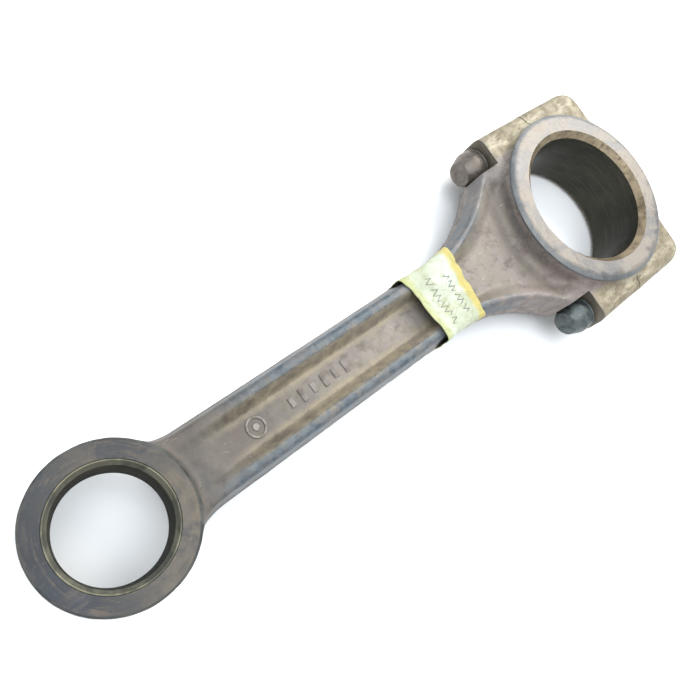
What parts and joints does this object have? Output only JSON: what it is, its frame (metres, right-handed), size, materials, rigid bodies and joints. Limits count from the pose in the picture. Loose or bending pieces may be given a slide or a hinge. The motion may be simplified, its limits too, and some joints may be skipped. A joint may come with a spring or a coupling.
{
  "type": "connecting rod",
  "caption": "Forged I-beam connecting rod with a bolted big-end cap, a bushed small end and a paper tag taped round the shank.",
  "frame": {"origin": "under the middle of the outer box, on the plane that the rod lies on", "axes": "+X from the small end to the big end, +Y across the rod, +Z along both bores"},
  "size_m": [0.3908, 0.123, 0.042],
  "materials": {
    "forged_steel": "drop forged, light rust and handling stains, machined end faces",
    "bronze": "bored bronze, dull olive patina",
    "bolt_steel": "blackened heat-treated steel, oily",
    "bright_steel": "ground steel",
    "paper": "matte cream paper tape, soiled edges"
  },
  "bodies": {
    "rod": {"rod_body": "forged_steel", "small_end_bush": "bronze", "dowel_sleeve_left": "bright_steel", "dowel_sleeve_right": "bright_steel", "paper_tag": "paper"},
    "cap": {"big_end_cap": "forged_steel"},
    "bolt_left": {"rod_bolt_left": "bolt_steel"},
    "bolt_right": {"rod_bolt_right": "bolt_steel"},
    "nut_left": {"cap_nut_left": "bolt_steel"},
    "nut_right": {"cap_nut_right": "bolt_steel"}
  },
  "joints": [
    {"name": "cap_slide", "type": "slide", "parent": "rod", "child": "cap", "axis": [1, 0, 0], "range_m": [0, 0.065]},
    {"name": "bolt_left_slide", "type": "slide", "parent": "rod", "child": "bolt_left", "axis": [-1, 0, 0], "range_m": [0, 0.095]},
    {"name": "bolt_right_slide", "type": "slide", "parent": "rod", "child": "bolt_right", "axis": [-1, 0, 0], "range_m": [0, 0.095]},
    {"name": "nut_left_turn", "type": "hinge", "parent": "cap", "child": "nut_left", "pos_m": [0.18435, 0.0503, 0.021], "axis": [1, 0, 0], "continuous": true},
    {"name": "nut_right_turn", "type": "hinge", "parent": "cap", "child": "nut_right", "pos_m": [0.18435, -0.0503, 0.021], "axis": [1, 0, 0], "continuous": true}
  ]
}
